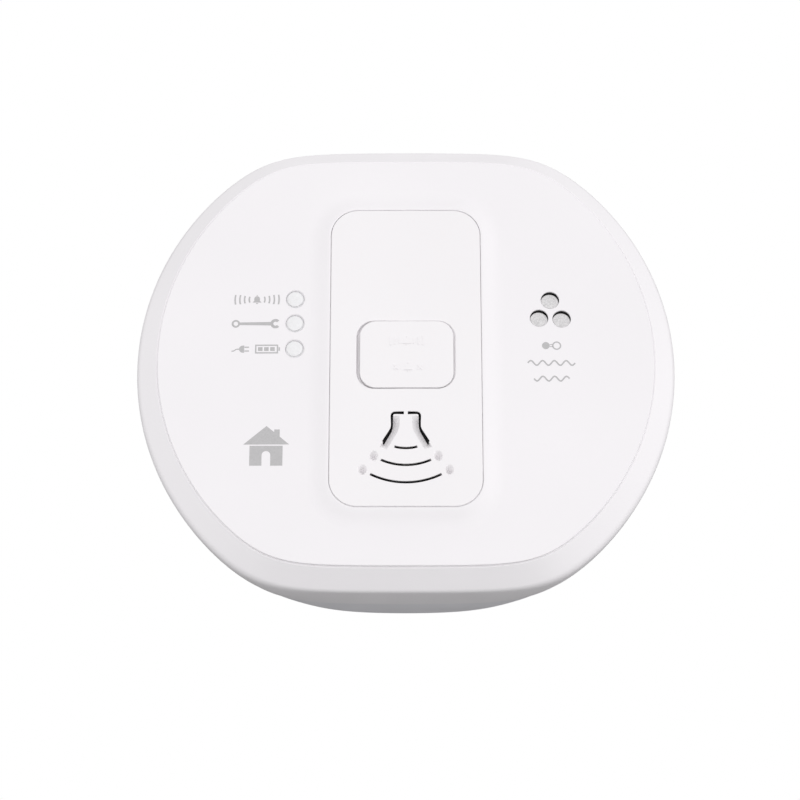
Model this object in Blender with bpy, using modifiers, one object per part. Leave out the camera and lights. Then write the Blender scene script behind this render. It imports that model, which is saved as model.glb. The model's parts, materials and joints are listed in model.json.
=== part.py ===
"""Carbon monoxide detector: a wall alarm that turns on to a mounting plate.

Every piece is modelled lying on its back: local X is to the right, local Y is up the wall and local Z is
the distance out from the wall. One empty turns the whole assembly upright, so that in the world the wall
is the plane Y = 0, the alarm looks along -Y and +Z is up. The origin is the centre of the wall face.
"""

import math

import bmesh
import bpy

MM = 0.001

# Overall body, millimetres
RIM_RADIUS = 60.0
RIM_HALF_HEIGHT = 52.5
RIM_DEPTH = 36.2
BEVEL_DEPTH = 37.6
FACE_RADIUS = 54.7
FACE_HALF_HEIGHT = 47.7
FACE_DEPTH = 41.9
PARTING_DEPTH = 26.9
WALL = 2.0
GAP = 0.3
CORNER_SHARPNESS = 24.0

# Centre panel and its window in the cover: half width, half height, corner radius
PANEL = (16.5, 34.8, 6.0)
PANEL_DEPTH = 43.7
PANEL_SKIN = 2.0
WINDOW_GAP = 0.25
PLINTH_LAND = 1.0
PLINTH_SLOPE = 2.8

# Test button: half width, half height, corner radius
BUTTON = (10.2, 7.8, 3.2)
BUTTON_CENTRE = (0.2, 0.1)
BUTTON_DEPTH = 44.5
BUTTON_GAP = 0.7
BUTTON_FLANGE = 1.3

# Sounder slots
SLOT_CENTRE = (0.0, -12.6)
SLOT_RADII = (9.1, 12.95, 16.9)
SLOT_HALF_WIDTHS = (2.5, 5.55, 7.8)
SLOT_WIDTH = 0.6
BELL_LINE = ((-0.42, -13.6), (-2.65, -13.6), (-3.05, -14.0), (-3.05, -16.9), (-5.0, -20.2))

# Round features of the face; the vent pad has a radius, back and front, each boss a radius and a front
PIPE_X = -24.6
PIPE_HEIGHTS = {"alarm": 13.9, "fault": 8.1, "power": 2.05}
PIPE_RADIUS = 1.75
PIPE_HOLE_RADIUS = 2.0
SENSOR_CENTRE = (32.1, 10.7)
VENTS = ((32.1, 13.6), (29.6, 9.3), (34.6, 9.1))
VENT_RADIUS = 2.0
VENT_SKIN = 0.6
VENT_PAD = (8.0, 40.6, 41.3)
VENT_BOSS = (1.55, 41.8)

# Circuit board and what stands on it
BOARD_BACK = 23.2
BOARD_FRONT = 24.8
BOARD_RADIUS = 48.0
BOARD_HALF_HEIGHT = 45.0
BOARD_SCREWS = ((36.0, 24.0), (-36.0, 24.0), (-36.0, -24.0), (36.0, -24.0))
SOUNDER_CENTRE = (0.0, -21.9)
SOUNDER_RADIUS = 11.9
CELL_CENTRE = (0.0, 4.0, 14.2)
CELL_RADIUS = 8.5
CELL_HALF_LENGTH = 17.0

# Mounting plate and its bayonet
PLATE_RADIUS = 44.0
PLATE_THICKNESS = 2.3
SHELL_BACK = 2.6
SHELL_FLOOR = 4.6
HOOK_ANGLES = (0.0, 90.0, 180.0, 270.0)
HOOK_RADIUS = 31.0
HOOK_HALF_ANGLE = 5.0
RELEASE_TURN = 15.0
KEYHOLES = ((-22.0, 2.0), (22.0, 2.0))

# Power switch on the floor of the rear shell
SWITCH_CENTRE = (-20.0, -30.0)
SWITCH_TRAVEL = 3.4


def clear_scene():
    for obj in list(bpy.data.objects):
        bpy.data.objects.remove(obj, do_unlink=True)


def new_collection(name):
    collection = bpy.data.collections.new(name)
    bpy.context.scene.collection.children.link(collection)
    return collection


def material(name, colour, roughness, metallic=0.0):
    made = bpy.data.materials.new(name)
    made.use_nodes = True
    shader = made.node_tree.nodes["Principled BSDF"]
    shader.inputs["Base Color"].default_value = (*colour, 1.0)
    shader.inputs["Roughness"].default_value = roughness
    shader.inputs["Metallic"].default_value = metallic
    return made


def empty(name, parent=None, place=(0.0, 0.0, 0.0)):
    made = bpy.data.objects.new(name, None)
    made.empty_display_size = 10 * MM
    PARTS.objects.link(made)
    made.parent = parent
    made.location = [value * MM for value in place]
    return made


def add(name, mesh, finish, parent, place=(0.0, 0.0, 0.0)):
    """A visible piece from a mesh in metres, with its origin at place, in millimetres."""
    obj = bpy.data.objects.new(name, mesh)
    PARTS.objects.link(obj)
    mesh.materials.append(finish)
    mesh.shade_smooth()
    mesh.set_sharp_from_angle(angle=math.radians(35))
    obj.parent = parent
    obj.location = [value * MM for value in place]
    return obj


def add_tool(name, mesh, place=(0.0, 0.0, 0.0)):
    """A hidden shape that a Boolean cuts away or joins on."""
    obj = bpy.data.objects.new(name, mesh)
    CUTTERS.objects.link(obj)
    obj.parent = UPRIGHT
    obj.location = [value * MM for value in place]
    obj.hide_render = True
    obj.display_type = "WIRE"
    return obj


def combine(obj, tool, operation="DIFFERENCE"):
    modifier = obj.modifiers.new(f"{operation.lower()} {tool.name}", "BOOLEAN")
    modifier.operation = operation
    modifier.solver = "EXACT"
    modifier.object = tool


def mesh_from(name, bm):
    bmesh.ops.recalc_face_normals(bm, faces=bm.faces)
    mesh = bpy.data.meshes.new(name)
    bm.to_mesh(mesh)
    bm.free()
    return mesh


def rounded_reach(half_width, half_height, corner, angle):
    """Distance from the centre of a rounded rectangle to its edge, along one angle."""
    across, up = abs(math.cos(angle)), abs(math.sin(angle))
    side = half_width / max(across, 1e-9)
    top = half_height / max(up, 1e-9)
    if side * up <= half_height - corner:
        return side
    if top * across <= half_width - corner:
        return top
    centre = (half_width - corner, half_height - corner)
    along = across * centre[0] + up * centre[1]
    return along + math.sqrt(along**2 - centre[0] ** 2 - centre[1] ** 2 + corner**2)


def flat_sided_reach(radius, half_height, angle):
    """The same for a circle cut flat above and below, with softly blended corners."""
    flat = abs(math.sin(angle)) / half_height
    power = CORNER_SHARPNESS
    return ((1 / radius) ** power + flat**power) ** (-1 / power)


def loft_angles(size, steps=64):
    """Even steps all round, with extra ones through the corners of a rounded rectangle."""
    half_width, half_height, corner = size
    first = math.atan2(half_height - corner, half_width)
    last = math.atan2(half_height, half_width - corner)
    even = [math.tau * i / steps for i in range(steps)]
    extra = []
    for i in range(5):
        angle = first + (last - first) * i / 4
        extra += [angle, math.pi - angle, math.pi + angle, math.tau - angle]
    kept = [angle for angle in even if min(abs(angle - other) for other in extra) > 0.02]
    return sorted(kept + extra)


def ring(depth, reach, angles):
    points = []
    for angle in angles:
        distance = reach(angle) * MM
        points.append((distance * math.cos(angle), distance * math.sin(angle), depth * MM))
    return points


def flat_sided(depth, radius, half_height, angles):
    return ring(depth, lambda angle: flat_sided_reach(radius, half_height, angle), angles)


def rounded(depth, size, angles, grow=0.0):
    size = [value + grow for value in size]
    return ring(depth, lambda angle: rounded_reach(*size, angle), angles)


def loft(name, rings, looped=False):
    """Skin between rings of equally many points, capped at both ends or joined from last to first."""
    bm = bmesh.new()
    loops = [[bm.verts.new(point) for point in points] for points in rings]
    pairs = list(zip(loops, loops[1:]))
    if looped:
        pairs.append((loops[-1], loops[0]))
    else:
        bm.faces.new(loops[0])
        bm.faces.new(loops[-1])
    for low, high in pairs:
        for i in range(len(low)):
            j = (i + 1) % len(low)
            bm.faces.new((low[i], low[j], high[j], high[i]))
    return mesh_from(name, bm)


def prism(name, outline, low, high):
    """A flat outline given thickness between two distances from the wall."""
    curve = bpy.data.curves.new(name, "CURVE")
    curve.dimensions = "2D"
    curve.fill_mode = "BOTH"
    curve.extrude = (high - low) / 2 * MM
    spline = curve.splines.new("POLY")
    spline.points.add(len(outline) - 1)
    for point, (x, y) in zip(spline.points, outline):
        point.co = (x * MM, y * MM, 0.0, 1.0)
    spline.use_cyclic_u = True
    guide = bpy.data.objects.new(name, curve)
    CUTTERS.objects.link(guide)
    bpy.context.view_layer.update()
    graph = bpy.context.evaluated_depsgraph_get()
    mesh = bpy.data.meshes.new_from_object(guide.evaluated_get(graph))
    bpy.data.objects.remove(guide, do_unlink=True)
    bm = bmesh.new()
    bm.from_mesh(mesh)
    bmesh.ops.remove_doubles(bm, verts=bm.verts, dist=1e-6)
    bmesh.ops.translate(bm, verts=bm.verts, vec=(0.0, 0.0, (low + high) / 2 * MM))
    bm.to_mesh(mesh)
    bm.free()
    mesh.materials.clear()
    return mesh


def cylinder(name, radius, low, high, steps=24):
    bm = bmesh.new()
    bmesh.ops.create_cone(
        bm,
        cap_ends=True,
        segments=steps,
        radius1=radius * MM,
        radius2=radius * MM,
        depth=(high - low) * MM,
    )
    bmesh.ops.translate(bm, verts=bm.verts, vec=(0.0, 0.0, (low + high) / 2 * MM))
    return mesh_from(name, bm)


def block(name, half_width, half_height, low, high):
    bm = bmesh.new()
    bmesh.ops.create_cube(bm, size=1.0)
    size = (2 * half_width * MM, 2 * half_height * MM, (high - low) * MM)
    bmesh.ops.scale(bm, verts=bm.verts, vec=size)
    bmesh.ops.translate(bm, verts=bm.verts, vec=(0.0, 0.0, (low + high) / 2 * MM))
    return mesh_from(name, bm)


def turned(name, profile, finish, parent, place, steps=28, looped=False):
    """A profile of (radius, distance) points, from the front down its outer side, turned about Z."""
    mesh = bpy.data.meshes.new(name)
    points = [(radius * MM, 0.0, depth * MM) for radius, depth in profile]
    edges = [(i, i + 1) for i in range(len(points) - 1)]
    if looped:
        edges.append((len(points) - 1, 0))
    mesh.from_pydata(points, edges, [])
    obj = add(name, mesh, finish, parent, place)
    screw = obj.modifiers.new("turn", "SCREW")
    screw.axis = "Z"
    screw.steps = steps
    screw.render_steps = steps
    screw.use_merge_vertices = True
    screw.merge_threshold = 1e-5
    return obj


def soften(obj, width):
    bevel = obj.modifiers.new("soft edges", "BEVEL")
    bevel.width = width * MM
    bevel.segments = 1
    bevel.limit_method = "ANGLE"


def band(centre, radius, width, first, last, steps=8):
    """Outline of a curved band round a centre, between two angles in degrees."""
    outline = []
    for reach, order in ((radius + width / 2, 1), (radius - width / 2, -1)):
        turns = [first + (last - first) * i / steps for i in range(steps + 1)][::order]
        for turn in turns:
            angle = math.radians(turn)
            outline.append((centre[0] + reach * math.cos(angle), centre[1] + reach * math.sin(angle)))
    return outline


def stroke(line, width):
    """Outline of a line of even width, with mitred corners."""
    normals = []
    for (x0, y0), (x1, y1) in zip(line, line[1:]):
        length = math.hypot(x1 - x0, y1 - y0)
        normals.append(((y0 - y1) / length, (x1 - x0) / length))
    left, right = [], []
    for i, (x, y) in enumerate(line):
        before = normals[max(i - 1, 0)]
        after = normals[min(i, len(normals) - 1)]
        total = 1 + before[0] * after[0] + before[1] * after[1]
        mitre = ((before[0] + after[0]) / total, (before[1] + after[1]) / total)
        left.append((x + mitre[0] * width / 2, y + mitre[1] * width / 2))
        right.append((x - mitre[0] * width / 2, y - mitre[1] * width / 2))
    return left + right[::-1]


def rounded_outline(size, grow=0.0):
    size = [value + grow for value in size]
    outline = []
    for angle in loft_angles(size, steps=0):
        distance = rounded_reach(*size, angle)
        outline.append((distance * math.cos(angle), distance * math.sin(angle)))
    return outline


def flat_sided_outline(radius, half_height, steps=56):
    outline = []
    for i in range(steps):
        angle = math.tau * i / steps
        distance = flat_sided_reach(radius, half_height, angle)
        outline.append((distance * math.cos(angle), distance * math.sin(angle)))
    return outline


def make_mounting_plate(finish):
    outline = band((0.0, 0.0), PLATE_RADIUS / 2, PLATE_RADIUS, 0.0, 360.0, steps=48)[:48]
    plate = add("mounting_plate", prism("mounting_plate", outline, 0.0, PLATE_THICKNESS), finish, UPRIGHT)
    for number, angle in enumerate(HOOK_ANGLES):
        first, last = angle - HOOK_HALF_ANGLE, angle + HOOK_HALF_ANGLE
        stem = band((0.0, 0.0), HOOK_RADIUS, 2.0, first, last, steps=3)
        head = band((0.0, 0.0), HOOK_RADIUS - 1.25, 4.5, first, last, steps=3)
        stem_low, head_low, head_high = PLATE_THICKNESS - 1.0, SHELL_FLOOR + 0.4, SHELL_FLOOR + 1.9
        combine(plate, add_tool(f"stem {number}", prism("stem", stem, stem_low, head_low + 0.5)), "UNION")
        combine(plate, add_tool(f"head {number}", prism("head", head, head_low, head_high)), "UNION")
    for x, y in KEYHOLES:
        entry = cylinder("keyhole entry", 4.2, -1.0, PLATE_THICKNESS + 1.0)
        combine(plate, add_tool(f"keyhole entry {x}", entry, (x, y - 6.0, 0.0)))
        slot = prism("keyhole slot", rounded_outline((2.2, 5.0, 2.1)), -1.0, PLATE_THICKNESS + 1.0)
        combine(plate, add_tool(f"keyhole slot {x}", slot, (x, y, 0.0)))
    return plate


def make_rear_shell(finish, parent):
    angles = [math.tau * i / 64 for i in range(64)]
    outer = [
        (SHELL_BACK, 47.2, 45.0),
        (3.8, 49.6, 47.4),
        (8.0, 52.4, 49.8),
        (13.0, 54.2, 50.5),
        (20.0, 56.4, 51.4),
        (PARTING_DEPTH - GAP, 58.1, 52.0),
    ]
    inner = [(depth, radius - WALL, height - WALL) for depth, radius, height in outer[:1:-1]]
    inner.append((SHELL_FLOOR, 47.6 - WALL, 45.4 - WALL))
    rings = [flat_sided(depth, radius, height, angles) for depth, radius, height in outer + inner]
    shell = add("rear_shell", loft("rear_shell", rings), finish, parent)
    for number, (x, y) in enumerate(BOARD_SCREWS):
        post = cylinder("post", 3.4, SHELL_FLOOR - 1.0, BOARD_BACK - GAP, steps=16)
        combine(shell, add_tool(f"post {number}", post, (x, y, 0.0)), "UNION")
        pilot = cylinder("pilot", 1.45, 12.0, BOARD_BACK + 1.0, steps=12)
        combine(shell, add_tool(f"pilot {number}", pilot, (x, y, 0.0)))
    low, high = SHELL_BACK - 1.0, SHELL_FLOOR + 1.0
    for number, angle in enumerate(HOOK_ANGLES):
        reach = HOOK_HALF_ANGLE + 0.8
        narrow = band((0.0, 0.0), HOOK_RADIUS, 2.8, angle - RELEASE_TURN - reach, angle + reach)
        wide_turn = angle - RELEASE_TURN
        wide = band((0.0, 0.0), HOOK_RADIUS - 1.25, 5.3, wide_turn - reach, wide_turn + reach, steps=4)
        combine(shell, add_tool(f"track {number}", prism("track", narrow, low, high)))
        combine(shell, add_tool(f"entry {number}", prism("entry", wide, low - 0.2, high + 0.2)))
    window = block("window", 3.7, 1.7, low, high)
    combine(shell, add_tool("switch window", window, (*SWITCH_CENTRE, 0.0)))
    return shell


def make_front_cover(finish, parent):
    """A bevelled dish whose face rises to a low plinth round the window of the centre panel."""
    angles = loft_angles(PANEL)
    foot = FACE_DEPTH + 0.4
    edge = PANEL_DEPTH - 0.1
    ledge = PANEL_DEPTH - PANEL_SKIN - 0.4
    shoulder = ledge - 1.1
    rings = [
        flat_sided(PARTING_DEPTH, 58.4, 52.3, angles),
        flat_sided(31.5, 59.5, 52.45, angles),
        flat_sided(RIM_DEPTH, RIM_RADIUS, RIM_HALF_HEIGHT, angles),
        flat_sided(BEVEL_DEPTH, RIM_RADIUS - 0.7, RIM_HALF_HEIGHT - 0.1, angles),
        flat_sided(FACE_DEPTH, FACE_RADIUS, FACE_HALF_HEIGHT, angles),
        rounded(foot, PANEL, angles, grow=PLINTH_LAND + PLINTH_SLOPE),
        rounded(edge, PANEL, angles, grow=PLINTH_LAND),
        rounded(edge, PANEL, angles, grow=WINDOW_GAP),
        rounded(ledge, PANEL, angles, grow=WINDOW_GAP),
        rounded(ledge, PANEL, angles, grow=2.4),
        rounded(shoulder, PANEL, angles, grow=2.6),
        flat_sided(FACE_DEPTH - WALL, FACE_RADIUS - 1.2, FACE_HALF_HEIGHT - 1.2, angles),
        flat_sided(RIM_DEPTH + 0.5, RIM_RADIUS - WALL, RIM_HALF_HEIGHT - WALL, angles),
        flat_sided(RIM_DEPTH - 3.0, 57.7, 50.4, angles),
        flat_sided(PARTING_DEPTH, 56.4, 50.3, angles),
    ]
    cover = add("front_cover", loft("front_cover", rings, looped=True), finish, parent)
    low, high = FACE_DEPTH - 5.0, FACE_DEPTH + 3.0
    for name, height in PIPE_HEIGHTS.items():
        hole = cylinder("hole", PIPE_HOLE_RADIUS, low, high, steps=20)
        combine(cover, add_tool(f"{name} window", hole, (PIPE_X, height, 0.0)))
    recess = cylinder("recess", 8.4, low, FACE_DEPTH + 0.25 - VENT_SKIN, steps=28)
    combine(cover, add_tool("sensor recess", recess, (*SENSOR_CENTRE, 0.0)))
    for number, (x, y) in enumerate(VENTS):
        hole = cylinder("vent", VENT_RADIUS, low, high, steps=20)
        combine(cover, add_tool(f"vent {number}", hole, (x, y, 0.0)))
    return cover


def make_centre_panel(finish, parent):
    angles = loft_angles(PANEL, steps=24)
    back = PANEL_DEPTH - PANEL_SKIN - 2.0
    flange = back + 1.3
    rings = [
        rounded(back, PANEL, angles, grow=1.8),
        rounded(flange, PANEL, angles, grow=1.8),
        rounded(flange, PANEL, angles),
        rounded(PANEL_DEPTH - 0.25, PANEL, angles),
        rounded(PANEL_DEPTH, PANEL, angles, grow=-0.25),
    ]
    panel = add("centre_panel", loft("centre_panel", rings), finish, parent)
    pocket = prism("pocket", rounded_outline(PANEL, grow=-1.2), back - 1.0, PANEL_DEPTH - PANEL_SKIN)
    combine(panel, add_tool("panel pocket", pocket))
    low, high = back - 1.5, PANEL_DEPTH + 1.0
    opening = prism("button opening", rounded_outline(BUTTON, grow=BUTTON_GAP), low, high)
    combine(panel, add_tool("button opening", opening, (*BUTTON_CENTRE, 0.0)))
    for number, (radius, half_width) in enumerate(zip(SLOT_RADII, SLOT_HALF_WIDTHS)):
        spread = math.degrees(math.asin(half_width / radius))
        slot = band(SLOT_CENTRE, radius, SLOT_WIDTH, 270.0 - spread, 270.0 + spread)
        combine(panel, add_tool(f"sound slot {number}", prism("slot", slot, low, high)))
    for side in (-1.0, 1.0):
        line = [(-side * x, y) for x, y in BELL_LINE]
        slot = prism("bell slot", stroke(line, SLOT_WIDTH), low, high)
        combine(panel, add_tool(f"bell slot {side}", slot))
    return panel


def make_test_button(finish, parent):
    """A crowned cap, a flange that keeps it behind the panel, and the stem that presses the switch."""
    angles = loft_angles(BUTTON, steps=16)
    flange_front = PANEL_DEPTH - PANEL_SKIN - GAP
    flange_back = flange_front - 1.5
    rings = [
        rounded(flange_back, BUTTON, angles, grow=BUTTON_FLANGE),
        rounded(flange_front, BUTTON, angles, grow=BUTTON_FLANGE),
        rounded(flange_front, BUTTON, angles),
        rounded(BUTTON_DEPTH - 0.5, BUTTON, angles),
        rounded(BUTTON_DEPTH - 0.1, BUTTON, angles, grow=-0.4),
        rounded(BUTTON_DEPTH, BUTTON, angles, grow=-1.5),
    ]
    button = add("test_button", loft("test_button", rings), finish, parent)
    stem = cylinder("button stem", 2.0, 31.0, flange_back + 0.7, steps=16)
    combine(button, add_tool("button stem", stem, (*BUTTON_CENTRE, 0.0)), "UNION")
    return button


def make_switch(finish, plunger_finish, parent, plunger_parent):
    body = add("test_switch_body", block("test_switch_body", 3.0, 3.0, 25.1, 29.0), finish, parent)
    body.location = [value * MM for value in (*BUTTON_CENTRE, 0.0)]
    well = cylinder("plunger well", 1.9, 25.7, 30.0, steps=16)
    combine(body, add_tool("plunger well", well, (*BUTTON_CENTRE, 0.0)))
    profile = ((0.0, 30.7), (1.4, 30.7), (1.65, 30.4), (1.65, 27.0), (0.0, 27.0))
    turned("test_switch_plunger", profile, plunger_finish, plunger_parent, (0.0, 0.0, 0.0), steps=16)


def make_circuit_board(finish, parent):
    outline = flat_sided_outline(BOARD_RADIUS, BOARD_HALF_HEIGHT)
    board = add("circuit_board", prism("circuit_board", outline, BOARD_BACK, BOARD_FRONT), finish, parent)
    for number, (x, y) in enumerate(BOARD_SCREWS):
        hole = cylinder("screw hole", 1.7, BOARD_BACK - 1.0, BOARD_FRONT + 1.0, steps=16)
        combine(board, add_tool(f"screw hole {number}", hole, (x, y, 0.0)))


def make_board_screws(finish, parent):
    profile = ((0.0, 27.0), (1.9, 26.8), (2.7, 26.0), (2.7, 25.1), (1.15, 25.1), (1.15, 14.6), (0.0, 13.6))
    for number, (x, y) in enumerate(BOARD_SCREWS, start=1):
        turned(f"board_screw_{number}", profile, finish, parent, (x, y, 0.0), steps=16)


def make_indicators(lens, finishes, parent):
    """Behind each window, a light pipe with a collar and the light emitting diode that shines up it."""
    pipe = (
        (0.0, 42.4),
        (PIPE_RADIUS - 0.3, 42.3),
        (PIPE_RADIUS, 42.0),
        (PIPE_RADIUS, 39.2),
        (2.4, 39.2),
        (2.4, 37.8),
        (PIPE_RADIUS, 37.8),
        (1.5, 28.0),
        (0.0, 28.0),
    )
    diode = ((0.0, 27.7), (0.9, 27.4), (1.3, 26.6), (1.3, 25.8), (1.6, 25.8), (1.6, 25.1), (0.0, 25.1))
    for name, height in PIPE_HEIGHTS.items():
        place = (PIPE_X, height, 0.0)
        turned(f"{name}_light_pipe", pipe, lens, parent, place, steps=24)
        turned(f"{name}_led", diode, finishes[name], parent, place, steps=16)


def make_sounder(finishes, parent):
    place = (*SOUNDER_CENTRE, 0.0)
    outer, inner = SOUNDER_RADIUS, SOUNDER_RADIUS - 1.0
    base = ((0.0, 26.3), (inner, 26.3), (inner, 31.0), (outer, 31.0), (outer, 25.1), (0.0, 25.1))
    cap = (
        (3.0, 38.5),
        (outer, 38.5),
        (outer, 32.0),
        (inner, 32.0),
        (inner, 37.5),
        (3.0, 37.5),
    )
    gasket = ((11.6, 41.4), (11.6, 38.8), (9.6, 38.8), (9.6, 41.4))
    turned("sounder_base", base, finishes["resin"], parent, place)
    turned("brass_disc", disc(outer, 31.3, 31.7), finishes["brass"], parent, place)
    turned("ceramic_disc", disc(8.0, 32.0, 32.4), finishes["ceramic"], parent, place)
    turned("resonator_cap", cap, finishes["resin"], parent, place, looped=True)
    turned("sounder_gasket", gasket, finishes["foam"], parent, place, looped=True)


def disc(radius, low, high):
    return ((0.0, high), (radius, high), (radius, low), (0.0, low))


def make_gas_sensor(finishes, parent):
    """From the board outwards: tabs, can, reservoir, electrode, cap, foam ring, dust screen and vent pad."""
    place = (*SENSOR_CENTRE, 0.0)
    can = ((0.0, 26.5), (8.9, 26.5), (8.9, 35.5), (9.6, 35.5), (9.6, 25.8), (0.0, 25.8))
    cap = ((1.2, 36.8), (9.6, 36.8), (9.6, 35.8), (1.2, 35.8))
    foam = ((9.0, 39.5), (9.0, 37.1), (6.6, 37.1), (6.6, 39.5))
    turned("sensor_can", can, finishes["steel"], parent, place)
    turned("sensor_reservoir", disc(8.6, 26.8, 33.4), finishes["resin"], parent, place)
    turned("sensor_electrode", disc(8.6, 33.7, 35.2), finishes["membrane"], parent, place)
    turned("sensor_cap", cap, finishes["steel"], parent, place, looped=True)
    turned("sensor_foam_ring", foam, finishes["foam"], parent, place, looped=True)
    screen = cylinder("dust_screen", 8.0, 39.8, 40.3, steps=28)
    screen = add("dust_screen", screen, finishes["membrane"], parent, place)
    pad = add("vent_pad", cylinder("vent_pad", *VENT_PAD, steps=28), finishes["foam"], parent, place)
    for number, (x, y) in enumerate(VENTS):
        hole = cylinder("pad hole", VENT_RADIUS, VENT_PAD[1] - 1.0, VENT_PAD[2] + 1.0, steps=20)
        combine(pad, add_tool(f"pad hole {number}", hole, (x, y, 0.0)))
        boss = cylinder("boss", VENT_BOSS[0], 40.0, VENT_BOSS[1], steps=20)
        combine(screen, add_tool(f"boss {number}", boss, (x, y, 0.0)), "UNION")
    for name, x in (("left", -5.0), ("right", 5.0)):
        tab = block(f"sensor_tab_{name}", 1.5, 0.4, 25.05, 25.5)
        tab_place = (SENSOR_CENTRE[0] + x, SENSOR_CENTRE[1], 0.0)
        add(f"sensor_tab_{name}", tab, finishes["nickel"], parent, tab_place)


def make_battery(finishes, parent):
    """A sealed lithium cell lying across the middle, in a cradle on the floor of the shell."""
    x, y, depth = CELL_CENTRE
    length, radius = CELL_HALF_LENGTH, CELL_RADIUS
    profile = (
        (0.0, length),
        (3.0, length),
        (3.0, length - 0.9),
        (radius - 0.6, length - 0.9),
        (radius, length - 1.5),
        (radius, 0.6 - length),
        (radius - 0.6, -length),
        (0.0, -length),
    )
    cell = turned("battery_cell", profile, finishes["cell"], parent, (x, y, depth), steps=32)
    cell.rotation_euler = (0.0, math.pi / 2, 0.0)
    cradle = add("battery_cradle", block("battery_cradle", 15.5, 10.0, 4.9, 12.5), finishes["resin"], parent)
    cradle.location = (x * MM, y * MM, 0.0)
    bed = cylinder("cell bed", radius + GAP, -20.0, 20.0, steps=32)
    bed = add_tool("cell bed", bed, (x, y, depth))
    bed.rotation_euler = (0.0, math.pi / 2, 0.0)
    combine(cradle, bed)
    for name, side in (("positive", 1.0), ("negative", -1.0)):
        start = side * (length + GAP)
        upright = block(f"battery_tab_{name}", 0.25, 2.5, 12.0, BOARD_BACK - GAP)
        tab = add(f"battery_tab_{name}", upright, finishes["nickel"], parent)
        tab.location = ((x + start + side * 0.25) * MM, y * MM, 0.0)
        foot = block("tab foot", 1.75, 2.5, BOARD_BACK - GAP - 0.5, BOARD_BACK - GAP)
        foot = add_tool(f"tab foot {name}", foot, (x + start + side * 1.75, y, 0.0))
        combine(tab, foot, "UNION")


def make_power_switch(finish, knob_finish, parent, slide_parent):
    """A slide switch on the floor of the shell, worked from behind while the alarm is off its plate."""
    body = add("power_switch_body", block("power_switch_body", 5.4, 3.0, 4.9, 9.6), finish, parent)
    body.location = [value * MM for value in (*SWITCH_CENTRE, 0.0)]
    chamber = block("switch chamber", 4.3, 2.2, 5.7, 8.8)
    combine(body, add_tool("switch chamber", chamber, (*SWITCH_CENTRE, 0.0)))
    slot = block("switch slot", 3.3, 1.2, 4.0, 6.0)
    combine(body, add_tool("switch slot", slot, (*SWITCH_CENTRE, 0.0)))
    slider = block("power_switch_slider", 2.0, 1.9, 6.1, 8.4)
    slider = add("power_switch_slider", slider, knob_finish, slide_parent)
    knob = block("switch knob", 1.2, 0.9, 3.0, 6.5)
    knob_place = (SWITCH_CENTRE[0] - SWITCH_TRAVEL / 2, SWITCH_CENTRE[1], 0.0)
    combine(slider, add_tool("switch knob", knob, knob_place), "UNION")


def make_board_components(finishes, parent):
    drum_top = ((0.0, 33.4), (5.0, 33.4), (5.0, 32.0), (2.2, 32.0))
    drum = drum_top + ((2.2, 26.5), (5.0, 26.5), (5.0, 25.1), (0.0, 25.1))
    wire = ((4.6, 31.7), (4.6, 26.8), (2.5, 26.8), (2.5, 31.7))
    large_top = ((0.0, 36.9), (4.4, 37.0), (5.0, 36.5), (5.0, 27.0))
    large = large_top + ((4.7, 26.6), (5.0, 26.2), (5.0, 25.1), (0.0, 25.1))
    small_top = ((0.0, 32.0), (2.7, 32.0), (3.1, 31.6), (3.1, 26.6))
    small = small_top + ((2.9, 26.3), (3.1, 26.0), (3.1, 25.1), (0.0, 25.1))
    turned("coil_core", drum, finishes["ferrite"], parent, (22.0, -20.0, 0.0), steps=24)
    turned("coil_winding", wire, finishes["copper"], parent, (22.0, -20.0, 0.0), steps=24, looped=True)
    turned("large_capacitor", large, finishes["can"], parent, (-22.0, -18.0, 0.0), steps=24)
    turned("small_capacitor", small, finishes["can"], parent, (-12.0, 24.0, 0.0), steps=20)
    chip = add("microcontroller", block("microcontroller", 5.0, 5.0, 25.1, 26.5), finishes["chip"], parent)
    chip.location = (12.0 * MM, 22.0 * MM, 0.0)
    soften(chip, 0.2)


clear_scene()
PARTS = new_collection("carbon_monoxide_detector")
CUTTERS = new_collection("cutters")

UPRIGHT = empty("upright")
UPRIGHT.rotation_euler = (math.pi / 2, 0.0, 0.0)
ALARM = empty("alarm_turn_axis", UPRIGHT)
BUTTON_SLIDE = empty("button_slide", ALARM)
PLUNGER_SLIDE = empty("plunger_slide", ALARM, (*BUTTON_CENTRE, 0.0))
KNOB_SLIDE = empty("power_slide", ALARM, (SWITCH_CENTRE[0] - SWITCH_TRAVEL / 2, SWITCH_CENTRE[1], 0.0))

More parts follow.
